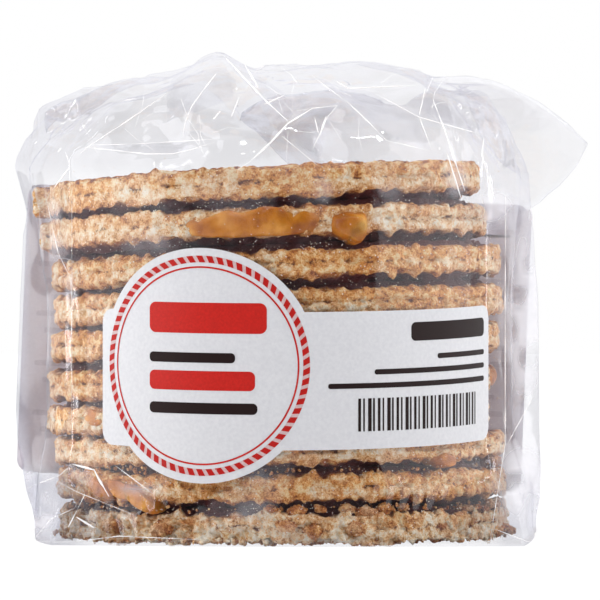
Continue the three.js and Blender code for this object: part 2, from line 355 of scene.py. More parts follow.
def waffleBlank(name, thickness, wholeTop, wholeBottom):
    radius = waffle["radius"] * mm
    half = thickness / 2 * mm
    bpy.ops.mesh.primitive_cylinder_add(vertices=waffle["columns"], radius=radius, depth=2 * half)
    disc = bpy.context.object
    disc.name = name
    bpy.ops.object.mode_set(mode="EDIT")
    for side, share in ((1, 1), (-1, waffle["groundRound"] if wholeBottom else 1)):
        selectWhere(disc, "edges", lambda e: all(v.co.z * side > half * 0.99 for v in e.verts))
        rounding = waffle["rimRound"] * share * mm
        bpy.ops.mesh.bevel(offset=rounding, segments=waffle["rimSegments"], profile=0.5)
    selectWhere(disc, "edges", lambda e: abs(e.verts[0].co.z - e.verts[1].co.z) > half * 0.6)
    bpy.ops.mesh.subdivide(number_cuts=waffle["rimCuts"])
    for side, whole in ((1, wholeTop), (-1, wholeBottom)):
        selectWhere(disc, "faces", lambda f: f.normal.z * side > 0.9 and len(f.verts) > 8)
        for ring in range(waffle["rings"]):
            bpy.ops.mesh.inset(thickness=waffle["ringStep"] * mm)
            if ring == waffle["swellRing"] and not whole:
                bpy.ops.transform.translate(value=(0, 0, side * waffle["swell"] * mm))
        for _ in range(waffle["wideRings"] if whole else 0):
            bpy.ops.mesh.inset(thickness=2 * waffle["ringStep"] * mm)
    bpy.ops.object.mode_set(mode="OBJECT")
    return disc


def ridged(co, half):  # where the iron's ridges show: weak at the upper edge, in stretches at the lower one
    weight = ease(abs(co.z) / half, 0.6, 1.0)
    if co.xy.length > waffle["rimFrom"] * mm:
        stretch = 0.5 + noise.noise(co / (14 * mm))
        weight *= 0.3 if co.z > 0 else min(max(1.6 * stretch, 0.2), 1)
    return weight


def soaked(number, co):  # 1 where caramel has soaked into the rim
    turn = math.degrees(math.atan2(co.x, -co.y))
    spots = [ease(-abs(turn - middle), -reach, -0.4 * reach) * amount
             for which, middle, reach, amount in soaks if which == number]
    return max(spots, default=0) + waffle["golden"][number - 1]


def buried(number, co, half):  # 1 on the faces that lie on each other, inside the rim: painted dark red-brown, toasted and darkened further as painted shade in the gaps between the waffles
    if number == 0 and co.z > 0 or number == len(stack) - 1 and co.z < 0:
        return 0
    inward = waffle["radius"] - co.xy.length / mm
    return ease(inward, 0.9, 2.4) * ease(abs(co.z) / half, 0.7, 0.95)


def valley(co):  # 1 between the ridges that the iron leaves, below 0 on them
    ridge = 0
    for turn in waffle["gridTurns"]:
        across = (co.x * math.cos(turn) + co.y * math.sin(turn)) / (waffle["gridPitch"] * mm)
        ridge = max(ridge, ease(1 - 2 * abs(round(across) - across), 0.45, 0.85))
    return 1 - 1.7 * ridge


def rimShare(co, start, end):  # 0 to 1 on the way out, over that stretch of the uneven rim
    return ease(co.xy.length / mm, waffle["rimFrom"] + start, waffle["rimFrom"] + end)


def seamShare(co):  # 1 along the middle of the rim, where the two wafers meet
    if co.xy.length <= (waffle["rimFrom"] + 3) * mm:
        return 0
    return math.exp(-((co.z / mm - waffle["seamHeight"]) / waffle["seamWidth"]) ** 2)


def makeWaffle(number, textures):
    thickness = stack[number][3]
    disc = waffleBlank(f"waffle_{number + 1:02d}", thickness, number == 0, number == len(stack) - 1)
    half = thickness / 2 * mm
    paint(disc, "level", lambda co: 0.5 + (0.32 if number == 9 else 0.5) * co.z / half)
    paint(disc, "soak", lambda co: soaked(number + 1, co))
    paint(disc, "buried", lambda co: buried(number, co, half))
    place = wafflePlace(number)
    outside = {0: 1, len(stack) - 1: -1}.get(number, 0)  # which of its faces shows its grid
    paint(disc, "valley", lambda co: valley(place @ co) * ease(co.z * outside / half, 0.9, 1.0))
    weigh(disc, "ridges", lambda co: ridged(co, half))
    weigh(disc, "faces", lambda co: ease(abs(co.z) / half, 0.5, 1.0) * rimShare(co, 0, 2.5))
    weigh(disc, "rim", lambda co: 0.2 + 0.8 * rimShare(co, 1, 4.5))
    weigh(disc, "seam", seamShare)
    scale = waffle["smaller"].get(number, 1)
    disc.data.transform(place @ Matrix.Diagonal((scale, scale, 1, 1)))
    broken = waffle["crumbly"].get(number, 1.0)
    displace(disc, textures["wobble"], waffle["wobble"] * broken, vertex_group="rim")
    for guide in textures["guides"]:
        displace(disc, textures["grid"], waffle["gridHeight"], texture_coords="OBJECT",
                 texture_coords_object=guide, mid_level=0.8, vertex_group="ridges")
    displace(disc, textures["edge"], waffle["edge"], vertex_group="faces")
    displace(disc, textures["seam"], -waffle["seam"], mid_level=0, vertex_group="seam")
    displace(disc, textures["nodules"], -waffle["nodules"] * broken, mid_level=0.35, vertex_group="rim")
    displace(disc, textures["crumb"], waffle["crumb"] * broken, vertex_group="rim")
    for vertex in disc.data.vertices:
        reach = vertex.co.xy.length / (waffle["pressedTo"] * mm)
        if reach > 1 and vertex.co.y < 0:
            vertex.co.xy /= reach
    return smoothed(disc)


def makeWaffles():
    nodules = bpy.data.textures.new("nodules", "VORONOI")
    nodules.noise_scale = 2.1 * mm
    nodules.distance_metric = "DISTANCE"
    seam = smoothNoise("seam", 5, 1)
    seam.use_color_ramp = True
    seam.color_ramp.elements[0].position = 0.5
    seam.color_ramp.elements[1].position = 0.62
    textures = {
        "wobble": smoothNoise("wobble", 8, 2),
        "edge": smoothNoise("edge", 2.3, 2),
        "grid": gridTexture(),
        "guides": [gridGuide(turn) for turn in waffle["gridTurns"]],
        "nodules": nodules,
        "crumb": smoothNoise("crumb", 0.8, 3),
        "seam": seam,
    }
    discs = [makeWaffle(number, textures) for number in range(len(stack))]
    for guide in textures["guides"]:
        bpy.data.objects.remove(guide)
    print("waffles made")
    return discs


def waferMaterial():
    # Baked butter wafer: a matt, open crumb of pale grains with dark pits between them, golden above its seam
    # and paler below it, browned at its edges, and soaked with caramel in places.
    material, tree, place = newMaterial("baked butter wafer")
    patches = addNode(tree, "TexNoise", {"size": 4.2, "Detail": 4, "Roughness": 0.6}, Vector=place)
    clumps = addNode(tree, "TexNoise", {"size": 1.6, "Detail": 3, "Roughness": 0.6}, Vector=place)
    # flour is finer than this, and wouldn't show
    meal = addNode(tree, "TexNoise", {"size": 0.3, "Detail": 2, "Roughness": 0.7}, Vector=place)
    grains = addNode(tree, "TexVoronoi", {"size": 0.5}, Vector=place)
    grain = addNode(tree, "SeparateColor", None, Color=grains.outputs["Color"])
    tone = addNode(tree, "Math", multiplyAdd | {1: 0.16, 2: -0.56}, _0=grain.outputs["Red"])
    tone = addNode(tree, "Math", multiplyAdd | {1: 0.9}, _0=meal, _2=tone)
    tone = addNode(tree, "Math", multiplyAdd | {1: 1.3}, _0=clumps, _2=tone)
    level, soak, valley, buried = (addNode(tree, "Attribute", {"attribute_name": name}).outputs["Fac"]
                                   for name in ("level", "soak", "valley", "buried"))
    shade = addNode(tree, "Math", multiplyAdd | {1: 0.17}, _0=valley, _2=tone)
    pale, gold, baked = (addNode(tree, "ValToRGB", {"stops": stops}, Fac=shade) for stops in (
        [(0.3, "#B87832"), (0.45, "#E4B074"), (0.6, "#F2D6AA"), (0.8, "#FAF0DE")],
        [(0.3, "#944A10"), (0.45, "#CC7E32"), (0.62, "#E8A450"), (0.84, "#F8DCA8")],
        [(0.3, "#622608"), (0.47, "#A4561E"), (0.65, "#D0863C"), (0.88, "#F4C480")]))

    uneven = addNode(tree, "Math", multiplyAdd | {1: 0.4, 2: -0.2}, _0=patches)
    level = addNode(tree, "Math", {"operation": "ADD", "use_clamp": True}, _0=uneven, _1=level)
    crust, upper, seam = (addNode(tree, "ValToRGB", {"stops": stops}, Fac=level) for stops in (
        [(0.0, "#FFFFFF"), (0.1, "#E0E0E0"), (0.22, "#808080"), (0.34, "#202020"), (0.7, "#202020"),
         (0.9, "#989898"), (1.0, "#E8E8E8")],
        [(0.2, "#B0B0B0"), (0.34, "#202020"), (0.48, "#303030"), (0.56, "#C8C8C8"), (0.9, "#E0E0E0")],
        [(0.47, "#000000"), (0.51, "#FFFFFF"), (0.54, "#FFFFFF"), (0.58, "#000000")]))
    golden = addNode(tree, "Math", multiplyAdd | {1: 3.0, 2: -1.75}, _0=patches)
    golden = addNode(tree, "Math", multiplyAdd | {1: 0.9}, _0=soak, _2=golden)
    golden = addNode(tree, "Math", multiplyAdd | {1: 0.7, "use_clamp": True}, _0=upper, _2=golden)
    browned = addNode(tree, "Math", multiplyAdd | {1: 2.2, 2: -1.2}, _0=patches)
    browned = addNode(tree, "Math", {"operation": "ADD"}, _0=browned, _1=crust)
    browned = addNode(tree, "Math", multiplyAdd | {1: -0.7, "use_clamp": True}, _0=valley, _2=browned)
    # painted shade: the holes and slits along the seam are coloured dark brown, as they look in shade
    pits = addNode(tree, "ValToRGB", {"stops": [(0.37, "#FFFFFF"), (0.47, "#000000")]}, Fac=clumps)
    seamHoleShade = addNode(tree, "Math", {"operation": "MULTIPLY"}, _0=seam, _1=pits)
    # pale sugar grains, painted near white so that they also stand for their glints: partly a painted
    # highlight
    dot = addNode(tree, "ValToRGB", {"stops": [(0.14, "#FFFFFF"), (0.3, "#000000")]},
                  Fac=grains.outputs["Distance"])
    few = addNode(tree, "ValToRGB", {"stops": [(0.86, "#000000"), (0.88, "#FFFFFF")]},
                  Fac=grain.outputs["Green"])
    sugarGlint = addNode(tree, "Math", {"operation": "MULTIPLY"}, _0=dot, _1=few)

    mix = addNode(tree, "Mix", colourMix, _0=golden, _6=pale, _7=gold).outputs[2]
    mix = addNode(tree, "Mix", colourMix, _0=browned, _6=mix, _7=baked).outputs[2]
    # painted shade darkens the seam's holes and the faces in the gaps; the sugar grains are painted near
    # white, partly as their glints
    for share, code in ((seamHoleShade, "#6A3616"), (sugarGlint, "#FFFBF2"), (buried, "#6A3230")):
        mix = addNode(tree, "Mix", colourMix | {7: code}, _0=share, _6=mix).outputs[2]
    bump = addNode(tree, "Bump", {"Strength": 0.9, "Distance": 0.3 * mm}, Height=tone)
    shader = addNode(tree, "BsdfPrincipled",
                     {"Roughness": 0.48, "Specular IOR Level": 0.55, "Subsurface Weight": 0.05,
                      "Subsurface Scale": 0.6 * mm, "Subsurface Radius": (1.0, 0.55, 0.3)},
                     Base_Color=mix, Normal=bump)
    addNode(tree, "OutputMaterial", Surface=shader)
    return material


caramel = {
    "reach": 37.0,
    "bead": 0.7,  # half its thickness
    "columns": 480,
    "pressedTo": 40.7,
    "dropReach": 37.7,  # the middles of the drops
    "dropDepth": 4.2,  # from the middle outwards
    "wobble": 1.0,
    "rise": 1.2,  # the wobble up and down
    "skin": 0.3,
}
# waffle number from the top, turn from the front to the right in degrees, half length along the rim,
# how far it swells out, how much taller it gets, how far it sags
oozes = [
    (2, -2, 12, 3.1, 3.3, 0.1),
    (2, -13, 6, 0.8, 1.1, 0.2),
    (5, 205, 9, 3.2, 2.5, 0.1),
    (3, 140, 10, 3.1, 2.4, 0.1),
    (8, 250, 8, 3.2, 2.3, 0.1),
    (6, 100, 8, 3.1, 2.4, 0.1),
    (2, 240, 8, 3.1, 2.3, 0.1),
]


# thick drops that hang from the rims: waffle number, turn, height, half width, half height,
# tilt down to the right
drops = [
    (2, 18.6, 54.4, 3.4, 2.7, 4),
    (2, 20.0, 53.5, 2.2, 2.4, 0),
    (7, -52, 21.3, 3.0, 1.6, 8),
    (8, 47, 14.2, 2.8, 1.4, 5),
    (9, -50, 9.2, 3.3, 1.7, 18),
    (9, -43, 9.4, 3.6, 1.9, 28),
    (9, -36.5, 7.8, 3.9, 2.0, 32),
]


def makeDrop(turn, height, wide, tall, tilt):
    bpy.ops.mesh.primitive_uv_sphere_add(segments=64, ring_count=40, radius=mm,
                                         rotation=(0, math.radians(tilt), math.radians(turn)),
                                         location=Vector(roundAbout(turn, caramel["dropReach"], height)) * mm)
    drop = bpy.context.object
    drop.scale = (wide, caramel["dropDepth"], tall)
    applyPlace(drop)
    return drop


def makeCaramel(number, textures):
    bpy.ops.mesh.primitive_torus_add(major_radius=caramel["reach"] * mm, minor_radius=caramel["bead"] * mm,
                                     major_segments=caramel["columns"], minor_segments=20)
    bead = bpy.context.object
    bead.name = f"caramel_{number:02d}"
    bpy.ops.object.mode_set(mode="EDIT")
    for which, turn, length, out, taller, sag in oozes:
        if which != number:
            continue
        angle = math.radians(turn)
        way = Vector((math.sin(angle), -math.cos(angle), 0))
        middle = way * caramel["reach"] * mm
        selectWhere(bead, "verts", lambda v: (v.co - middle).length < 0.25 * length * mm)
        spread = {"use_proportional_edit": True, "proportional_edit_falloff": "SPHERE",
                  "proportional_size": length * mm}
        bpy.ops.transform.resize(value=(1, 1, taller), center_override=middle, **spread)
        bpy.ops.transform.translate(value=(way * out - Vector((0, 0, sag))) * mm, **spread)
    bpy.ops.object.mode_set(mode="OBJECT")
    bead.data.transform(wafflePlace(number - 1))
    bead = joined(bead.name, [bead] + [makeDrop(*drop[1:]) for drop in drops if drop[0] == number])
    displace(bead, textures[0], caramel["wobble"])
    displace(bead, textures[0], caramel["rise"], direction="Z")
    for vertex in bead.data.vertices:
        over = vertex.co.xy.length - caramel["pressedTo"] * mm
        if over > 0:
            vertex.co.xy *= 1 - 0.9 * over / vertex.co.xy.length
    displace(bead, textures[1], caramel["skin"], mid_level=0.8)
    return smoothed(bead)


def caramelMaterial():
    # Soft caramel syrup: smooth and amber, with paler swirls and a dull shine.
    material, tree, place = newMaterial("caramel syrup")
    swirl = addNode(tree, "TexNoise", {"size": 4, "Detail": 3}, Vector=place)
    tint = addNode(tree, "ValToRGB", {"stops": [(0.32, "#9E5206"), (0.5, "#CA7C16"), (0.68, "#ECA846")]},
                   Fac=swirl)
    bump = addNode(tree, "Bump", {"Strength": 0.35, "Distance": 0.3 * mm}, Height=swirl)
    shader = addNode(tree, "BsdfPrincipled",
                     {"Roughness": 0.3, "IOR": 1.48, "Subsurface Weight": 0.35, "Subsurface Scale": 1.4 * mm,
                      "Subsurface Radius": (1.0, 0.45, 0.15)}, Base_Color=tint, Normal=bump)
    addNode(tree, "OutputMaterial", Surface=shader)
    return material


waffles = makeWaffles()
wafer = waferMaterial()
for disc in waffles:
    disc.data.materials.append(wafer)
    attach(disc, "root")
syrup = caramelMaterial()
syrupNoise = (smoothNoise("syrup", 4, 1), smoothNoise("syrup skin", 1.6, 2))
for number in range(1, len(stack) + 1):
    bead = makeCaramel(number, syrupNoise)
    bead.data.materials.append(syrup)
    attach(bead, "root")
print("caramel made")


# loose crumbs, and crumb dust that clings to the inside of the film
loose = {
    "dust": 2600,  # how many
    "dustSize": (0.05, 0.12),
    "dustReach": 40.75,  # it clings to the film at the front, between these turns
    "dustTurns": (-62, 76),
    "dustHeights": (2, 66),
    "inGaps": 0.75,  # the share of it that lies between two waffles
    "gapSpread": 0.9,
    "fine": 420,
    "fineSize": (0.15, 0.45),
    "fallen": 0.4,  # the share of them that lies on the bottom, all round
    "fallenReach": (37.5, 40.3),
    "fallenHeights": (0.4, 1.1),
    "wedgedTurns": (-70, 80),  # the rest is wedged in the three lowest gaps
    "wedgedReach": (37, 40),
    "wedgedDrop": (0.2, 1.4),
}
# lumps between and beside the lowest waffles: turn from the front to the right, distance from the axis,
# height, width, thickness
lumps = [
    (-1, 38.6, 6.2, 1.7, 0.8), (5, 39.0, 6.0, 1.9, 1.0), (11, 38.4, 6.4, 1.2, 0.8), (18, 38.9, 6.3, 1.6, 0.9),
    (23, 39.1, 5.4, 2.2, 1.4), (28, 38.8, 6.2, 1.8, 1.0), (34, 38.6, 6.4, 1.3, 0.7), (2, 39.3, 3.6, 2.4, 1.5),
    (9, 39.4, 2.6, 2.2, 1.4), (20, 39.4, 2.8, 2.6, 1.6), (44, 39.4, 3.2, 2.3, 1.5), (58, 39.2, 3.6, 2.2, 1.4),
    (-30, 39.3, 2.8, 2.2, 1.4), (-46, 39.2, 3.0, 2.4, 1.4), (73, 40.2, 13.8, 1.3, 1.1),
    (58, 38.7, 5.7, 2.2, 0.8), (66, 38.8, 5.5, 2.2, 0.9), (72, 39.2, 6.1, 2.2, 1.0),
    (79, 39.0, 6.2, 2.0, 0.9), (86, 39.2, 6.2, 2.0, 0.9), (76, 41.2, 1.9, 1.9, 0.8),
    (80, 42.0, 1.2, 1.3, 0.7), (70, 40.8, 1.3, 1.5, 0.9),
]


def scattered(name, detail, places):  # places: middle, size along three axes, turn
    # thousands of crumbs go straight into one mesh, as adding them one by one takes minutes
    heap = bmesh.new()
    for middle, size, turn in places:
        place = Matrix.Translation(Vector(middle) * mm) @ Euler(turn).to_matrix().to_4x4()
        place @= Matrix.Diagonal((*size, 1))
        bmesh.ops.create_icosphere(heap, subdivisions=detail, radius=mm, matrix=place)
    mesh = bpy.data.meshes.new(name)
    heap.to_mesh(mesh)
    heap.free()
    obj = bpy.data.objects.new(name, mesh)
    scene.collection.objects.link(obj)
    return obj


def sugaryDustMaterial():
    # Powdery crumb dust: pale, with a sugary sparkle.
    material, tree, place = newMaterial("sugary crumb dust")
    powder = addNode(tree, "TexNoise", {"size": 0.8, "Detail": 1}, Vector=place)
    tint = addNode(tree, "ValToRGB", {"stops": [(0.4, "#D2AE8C"), (0.6, "#FFFBF4")]}, Fac=powder)
    shader = addNode(tree, "BsdfPrincipled", {"Roughness": 0.3, "Specular IOR Level": 0.6}, Base_Color=tint)
    addNode(tree, "OutputMaterial", Surface=shader)
    return material


def makeCrumbs():
    dice = random.Random(12)

    def spin():
        return [dice.uniform(0, 6.28) for _ in range(3)]

    gaps = [low for _, _, low, _, _ in stack[:-1]]
    dust = []
    for _ in range(loose["dust"]):
        if dice.random() < loose["inGaps"]:
            height = dice.choice(gaps) - loose["gapSpread"] + dice.gauss(0, loose["gapSpread"])
        else:
            height = dice.uniform(*loose["dustHeights"])
        size = dice.uniform(*loose["dustSize"])
        turn = dice.uniform(*loose["dustTurns"])
        dust.append((roundAbout(turn, loose["dustReach"], max(height, 1)), (size, size, size * 0.7), spin()))
    fine = []
    for _ in range(loose["fine"]):
        size = dice.uniform(*loose["fineSize"])
        if dice.random() < loose["fallen"]:
            place = roundAbout(dice.uniform(-180, 180), dice.uniform(*loose["fallenReach"]),
                               dice.uniform(*loose["fallenHeights"]))
        else:
            turn, out = dice.uniform(*loose["wedgedTurns"]), dice.uniform(*loose["wedgedReach"])
            place = roundAbout(turn, out, dice.choice(gaps[-3:]) - dice.uniform(*loose["wedgedDrop"]))
        fine.append((place, (size, size * 0.8, size * 0.6), spin()))
    big = [(roundAbout(turn, out, height), (width, width * 0.7, thick), (0, 0, math.radians(turn)))
           for turn, out, height, width, thick in lumps]
    pieces = [scattered(name, detail, places) for name, detail, places in
              (("crumb_dust", 1, dust), ("crumbs_fine", 2, fine), ("crumb_lumps", 5, big))]
    displace(pieces[1], smoothNoise("fine crumb", 0.5, 1), 0.25)
    displace(pieces[2], smoothNoise("lump", 1.6, 2), 1.2)
    displace(pieces[2], smoothNoise("lump grain", 0.6, 3, hard=True), 0.6)
    pieces[0].data.materials.append(sugaryDustMaterial())
    for piece in pieces[1:]:
        piece.data.materials.append(wafer)
    for piece in pieces:
        smoothed(piece)
        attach(piece, "root")
    print("crumbs made")


makeCrumbs()


# the film bag
film = {
    "frontRadius": 41,  # the film lies round the waffles here
    "pleatWidth": 7,
    "pleatReach": 2.5,  # a pleat cuts the faces that lie nearer than this to its line
    "foot": 1.5,  # the film lies flat on the ground below this height
    "corners": (10, 18),  # between these heights the bottom corners end and the waffles hold it
    "gathers": (62, 70),  # between these it leaves the waffles and gathers into the top
    "heldMiddle": 7,  # the turn about which the waffles hold it
    "heldTurns": (60, 72),  # to each side of that it leaves them, between these turns
    "billow": 0.7,
    "crumple": 0.8,
    "ripple": 0.12,  # where it lies tight on the waffles
    "creaseRadius": 0.11,
    "foldStep": 1.2,  # width of the strips that the folded film is made of
}
label = {
    "left": -33.6, "right": 45.3, "bottom": 16.3, "top": 39.7, "corner": 2.4,
    "discAcross": -13.1, "discHeight": 30.5, "discRadius": 20,
    "slice": 1.5,  # width of the upright strips that let it bend
    "row": 2.5,  # height of the rows
    "circle": 160,  # corners of a whole circle
    "endRise": 1.5,
    "thickness": 0.12,
    "proud": 0.05,  # off the film
    "inkProud": 0.035,  # off the paper
    "ringProud": 0.02,  # the pink ring lies under the red one
}
# creases that the folded top and corners show: how far the film is pushed out along each, and the places
# that it joins, across and up as they lie on a plane at the front of the bag
pleats = [
    (0.9, (-8.9, 83.2), (1.9, 72.0)),
    (1.2, (10.2, 74.7), (-6.8, 63.8)),
    (0.7, (0.9, 69.5), (6.8, 64.6)),
    (0.8, (10.2, 74.7), (6.1, 67.5)),
    (-0.9, (-10.3, 80.1), (-16.0, 69.2)),
    (1.0, (-33.6, 66.3), (-18.4, 76.9)),
    (-0.8, (-31.4, 68.0), (-12.0, 69.0)),
    (1.0, (5.9, 79.7), (18.5, 68.8)),
    (0.9, (18.5, 68.8), (25.9, 67.0)),
    (-0.9, (16.3, 76.9), (35.7, 69.5)),
    (1.0, (26.4, 75.8), (31.8, 62.2)),
    (0.7, (25.1, 77.6), (24.1, 73.1)),
    (0.6, (35.0, 69.2), (36.8, 60.0)),
    (0.6, (43.2, 25.2), (39.0, 17.4)),
    (0.7, (-42.3, 9.9), (-34.7, 14.0)),
    (-0.9, (-36.5, 75.0), (-27.5, 62.5)),
    (0.8, (-27.0, 74.5), (-31.0, 64.0)),
    (-0.8, (-21.0, 79.0), (-25.5, 70.0)),
    (-0.9, (-4.0, 82.0), (-1.0, 68.0)),
    (0.8, (-13.0, 66.5), (-2.0, 70.0)),
    (-0.9, (13.5, 79.0), (12.0, 66.0)),
    (0.9, (21.0, 79.0), (31.0, 73.0)),
    (-0.8, (30.0, 78.0), (38.5, 66.0)),
    (0.8, (14.0, 71.0), (22.0, 64.5)),
    (-0.7, (39.5, 68.0), (34.0, 60.5)),
]
# the folded corners of the top, pulled to their places: middle, radius, move
pulls = [
    ((-44, 20, 75), 15, (-2.6, 0, 0.4)),
    ((-48, 38, 66), 9, (1.0, 0, 0)),
    ((44, 14, 76), 11, (-1.6, 0, -4.0)),
]
# where the film is milky from rubbing and small folds, and where narrow patches down the left and a tall one
# at the right are painted sheen for soft reflections: across, up, half width, half height, how much
milkAndSheenPatches = [
    (36.5, 57.5, 5.5, 4.0, 0.5), (42.5, 38, 4.5, 24, 0.6), (-38.3, 56, 1.3, 6, 0.25),
    (-36.5, 50, 1.3, 6, 0.25), (-35.2, 44, 1.1, 6, 0.2), (-22, 51.5, 6, 3, 0.16), (-23.5, 9.5, 4.5, 2, 0.3),
    (-4, 6, 5, 1.9, 0.22), (-3, 11.5, 3, 1.4, 0.2), (-41, 7, 6, 9, 0.5), (41.5, 11, 6, 8.5, 0.62),
    (45, 54, 4, 9, 0.5), (8, 60.5, 2.5, 3, 0.2), (-14, 60.5, 4, 2, 0.2), (-37.5, 52, 1.7, 10, 0.3),
    (30.5, 62, 3, 4, 0.3), (19, 61, 3, 4, 0.16),
]
# creases whitened by hard folding, which also glow faintly as painted highlights: radius against the usual
# one, then the places that they join
creases = [
    (1.3, [(-10.3, 80.1), (-12.5, 77.3), (-14.5, 74.4), (-15.5, 71.9), (-16.0, 69.2)]),
    (1.1, [(-33.6, 66.3), (-31.6, 68.0), (-26.2, 71.5), (-18.4, 76.9)]),
    (1.3, [(-8.9, 83.0), (-6.4, 80.2), (-1.8, 75.4), (1.9, 72.0)]),
    (1.4, [(10.2, 74.7), (6.0, 74.2), (1.9, 71.7), (-1.0, 68.5), (-4.7, 65.1), (-6.8, 63.8)]),
    (0.8, [(0.9, 69.5), (6.8, 64.6)]),
    (0.8, [(10.2, 74.7), (8.5, 72.7), (6.1, 67.5)]),
    (1.6, [(8.3, 72.9), (7.2, 69.5)]),
    (1.2, [(6.3, 72.9), (7.0, 70.0)]),
    (1.3, [(-2.1, 74.9), (1.2, 76.4)]),
    (1.7, [(-5.4, 81.4), (-3.2, 77.8)]),
    (0.9, [(-8.3, 82.5), (-3.5, 77.1)]),
    (1.2, [(-7.7, 72.9), (-6.4, 76.1)]),
    (1.2, [(-10.7, 72.4), (-9.6, 73.7)]),
    (1.0, [(-32.5, 67.6), (-27.4, 67.1), (-22.3, 66.5), (-17.7, 66.5), (-14.9, 67.1), (-10.5, 68.5)]),
    (0.8, [(-31.4, 68.0), (-23.5, 68.2), (-15.1, 68.7), (-10.3, 69.0)]),
    (0.9, [(5.9, 79.7), (12.1, 75.1), (15.9, 71.5), (18.5, 68.8), (25.9, 67.0)]),
    (0.9, [(16.3, 76.9), (24.1, 72.7), (35.7, 69.5)]),
    (2.0, [(26.4, 75.8), (28.5, 70.2), (31.8, 60.2)]),
    (1.3, [(25.1, 77.6), (24.1, 73.1)]),
    (0.9, [(24.1, 72.7), (26.3, 67.0)]),
    (1.6, [(28.8, 66.6), (31.2, 58.8)]),
    (1.7, [(35.0, 69.2), (34.7, 66.3), (36.8, 58.8)]),
    (1.2, [(9.7, 79.0), (12.1, 77.6), (23.4, 78.1)]),
    (0.7, [(-39.2, 59.6), (-37.0, 49.7), (-35.0, 45.6), (-34.7, 41.6)]),
    (0.45, [(-34.7, 61.2), (-34.7, 50.2), (-34.7, 36.7), (-34.7, 14.0)]),
    (2.2, [(-34.7, 14.0), (-30.9, 13.0), (-30.2, 11.6), (-28.4, 8.5)]),
    (0.9, [(-42.3, 9.9), (-36.7, 12.1), (-34.7, 14.0)]),
    (0.5, [(-38.2, 11.6), (-33.9, 9.3), (-24.2, 5.4)]),
    (0.8, [(-40.7, 1.8), (-38.2, 4.7), (-33.0, 7.1)]),
    (1.3, [(-35.3, 3.3), (-32.5, 8.8)]),
    (1.6, [(-33.9, 5.0), (-30.9, 3.2)]),
    (0.6, [(-27.4, 13.8), (-20.9, 8.9)]),
    (0.7, [(-40.2, 0.8), (-34.5, 0.8), (-26.7, 1.8), (-13.0, 1.2)]),
    (1.0, [(38.7, 60.4), (38.6, 41.8), (38.6, 17.4), (36.1, 1.3)]),
    (0.9, [(43.2, 25.2), (39.0, 17.4)]),
    (1.0, [(36.8, 3.0), (43.0, 0.6)]),
    (1.0, [(-35.8, 66.8), (-35.0, 64.4), (-38.7, 59.5)]),
]
# where the film lies folded double: how far behind the outer film, how much it shades, corners across and up
doubled = [
    (1.0, 0.75, [(-43.6, 13), (-41.5, 3), (-38.5, 0.9), (-35, 1.0), (-36.5, 7), (-34.7, 13.5), (-39, 12.4)]),
    (1.3, 0.6, [(-34.7, 13.5), (-36.5, 7), (-35, 1.0), (-29.5, 2.2), (-31.5, 7.5), (-30.9, 12.6)]),
    (1.0, 0.5, [(41.0, 14), (43.6, 12), (43.4, 1.8), (38.2, 1.0), (36.8, 5)]),
    (0.8, 0.4, [(39.2, 60), (43.0, 58), (43.6, 44), (41.5, 30), (39.6, 44)]),
    (0.7, 0.3, [(-18.7, 71.9), (-18.7, 76.9), (-17.6, 79.8), (-8.9, 81.3), (-6.9, 79.0), (-7.6, 75.6)]),
    (0.6, 0.3, [(-31.4, 68.0), (-23.5, 68.2), (-15.1, 68.7), (-14.9, 67.1), (-17.7, 66.5), (-22.3, 66.5),
                (-27.4, 67.1)]),
    (0.8, 0.3, [(5.8, 79.7), (10.7, 78.0), (16.8, 76.9), (24.1, 72.7), (26.3, 67.0), (18.5, 68.8),
                (15.9, 71.5), (12.1, 75.1)]),
    (0.9, 0.3, [(-8.8, 82.9), (-5.2, 81.0), (-1.8, 79.0), (3.9, 74.9), (1.9, 72.0), (-2.5, 75.6),
                (-6.9, 80.3)]),
    (0.7, 0.3, [(25.1, 77.2), (30.5, 74.4), (35.6, 69.5), (27.6, 71.7), (24.1, 72.7)]),
    (1.0, 0.3, [(1.9, 72.0), (6.0, 74.2), (10.2, 74.7), (7.0, 64.6), (0.9, 69.5)]),
]


def nodeCopy(name, newName):  # a merged copy of a CAD node, to shape further
    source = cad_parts[name]
    active(source)
    bpy.ops.object.duplicate()
    copy = bpy.context.object
    copy.name = newName
    copy.data.name = newName
    for key in list(copy.keys()):
        del copy[key]
    copy.parent = None
    copy.data.materials.clear()
    edited(copy, (bpy.ops.mesh.remove_doubles, {"threshold": mergeWithin}))
    return copy


def onPlane(co):  # where a point shows on the plane at the front of the bag
    ray = co - eye
    return eye + ray * ((-film["frontRadius"] * mm - eye.y) / ray.y)


def planePoint(place):
    return Vector((place[0], -film["frontRadius"], place[1])) * mm


def fromLine(point, start, end):  # distance to a stretch of line, and how far along it
    way = end - start
    share = (point - start).dot(way) / way.length_squared
    return (point - start - way * min(max(share, 0), 1)).length, share


def pleat(sheet, push, start, end):
    a, b = planePoint(start), planePoint(end)

    def along(face):
        centre = face.calc_center_median()
        if face.normal.dot(eye - centre) <= 0:
            return False
        distance, share = fromLine(onPlane(centre), a, b)
        return distance < film["pleatReach"] * mm and 0 < share < 1

    selectWhere(sheet, "faces", along)
    bpy.ops.mesh.bisect(plane_co=eye, plane_no=(a - eye).cross(b - eye).normalized())
    out = Vector((0, -0.8, 0.6)) if start[1] > 60 else Vector((0, -1, 0))
    bpy.ops.transform.translate(value=out * push * mm, use_proportional_edit=True,
                                proportional_edit_falloff="LINEAR", proportional_size=film["pleatWidth"] * mm)


